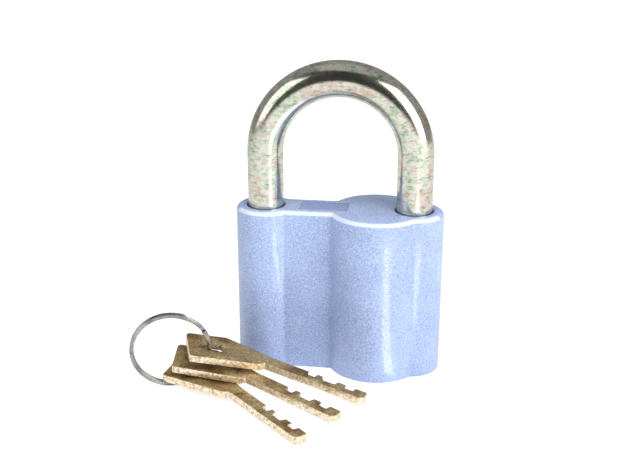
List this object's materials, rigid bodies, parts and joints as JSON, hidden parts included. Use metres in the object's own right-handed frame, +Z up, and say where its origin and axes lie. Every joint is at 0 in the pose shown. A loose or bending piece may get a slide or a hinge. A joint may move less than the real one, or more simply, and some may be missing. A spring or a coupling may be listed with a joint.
{
  "type": "padlock",
  "caption": "Padlock with a cast, lobed body, an open round bar shackle, a disc cylinder opened from below, and keys on a split ring lying beside it.",
  "frame": {"origin": "middle of the underside of the lock's body, halfway between the two shackle legs", "axes": "+Z up along the shackle legs, +X from the long leg to the short leg, +Y to the back"},
  "size_m": [0.1014, 0.0751, 0.1065],
  "materials": {
    "painted_casting": "hammer-tone enamel over cast iron, speckled",
    "plated_shackle": "zinc plate with a pale yellow, slightly iridescent passivation",
    "key_metal": "stamped, dull olive-brass plate",
    "ring_steel": "bright nickel-plated spring wire",
    "cylinder_brass": "machined brass",
    "hardened_steel": "hardened steel, lightly oiled",
    "plate_steel": "zinc-plated steel plate"
  },
  "bodies": {
    "lock_body": {"body": "painted_casting", "shackle_stop_pin": "hardened_steel", "keyway_plate": "plate_steel", "snap_ring": "hardened_steel"},
    "shackle": {"shackle": "plated_shackle"},
    "lock_cylinder": {"cylinder_sleeve": "cylinder_brass", "locking_cam": "hardened_steel", "code_disc_1": "cylinder_brass", "code_disc_2": "cylinder_brass", "code_disc_3": "cylinder_brass", "code_disc_4": "cylinder_brass", "code_disc_5": "cylinder_brass", "code_disc_6": "cylinder_brass", "code_disc_7": "cylinder_brass", "code_disc_8": "cylinder_brass", "code_disc_9": "cylinder_brass", "code_disc_10": "cylinder_brass", "disc_spacers": "hardened_steel", "guard_disc": "hardened_steel", "side_bar": "hardened_steel"},
    "key_ring": {"key_ring": "ring_steel"},
    "key_1": {"key_1": "key_metal"},
    "key_2": {"key_2": "key_metal"},
    "key_3": {"key_3": "key_metal"}
  },
  "joints": [
    {"name": "shackle_lift", "type": "slide", "parent": "lock_body", "child": "shackle", "axis": [0, 0, 1], "range_m": [0, 0.018]},
    {"name": "cylinder_turn", "type": "hinge", "parent": "lock_body", "child": "lock_cylinder", "pos_m": [0.0127, 0, 0], "axis": [0, 0, 1], "range_deg": [0, 90]},
    {"name": "keys_lift", "type": "slide", "parent": "lock_body", "child": "key_ring", "axis": [0, 0, 1], "range_m": [0, 0.06]},
    {"name": "key_1_swing", "type": "hinge", "parent": "key_ring", "child": "key_1", "pos_m": [-0.04554, -0.02435, 0.00359], "axis": [0.0367, -0.0107, 0.9993], "range_deg": [-4, 3]},
    {"name": "key_2_swing", "type": "hinge", "parent": "key_ring", "child": "key_2", "pos_m": [-0.04245, -0.02381, 0.00721], "axis": [0.0926, -0.0541, 0.9942], "range_deg": [-4, 3]},
    {"name": "key_3_swing", "type": "hinge", "parent": "key_ring", "child": "key_3", "pos_m": [-0.04078, -0.02373, 0.01209], "axis": [0.1874, -0.0334, 0.9817], "range_deg": [-3, 9]}
  ]
}
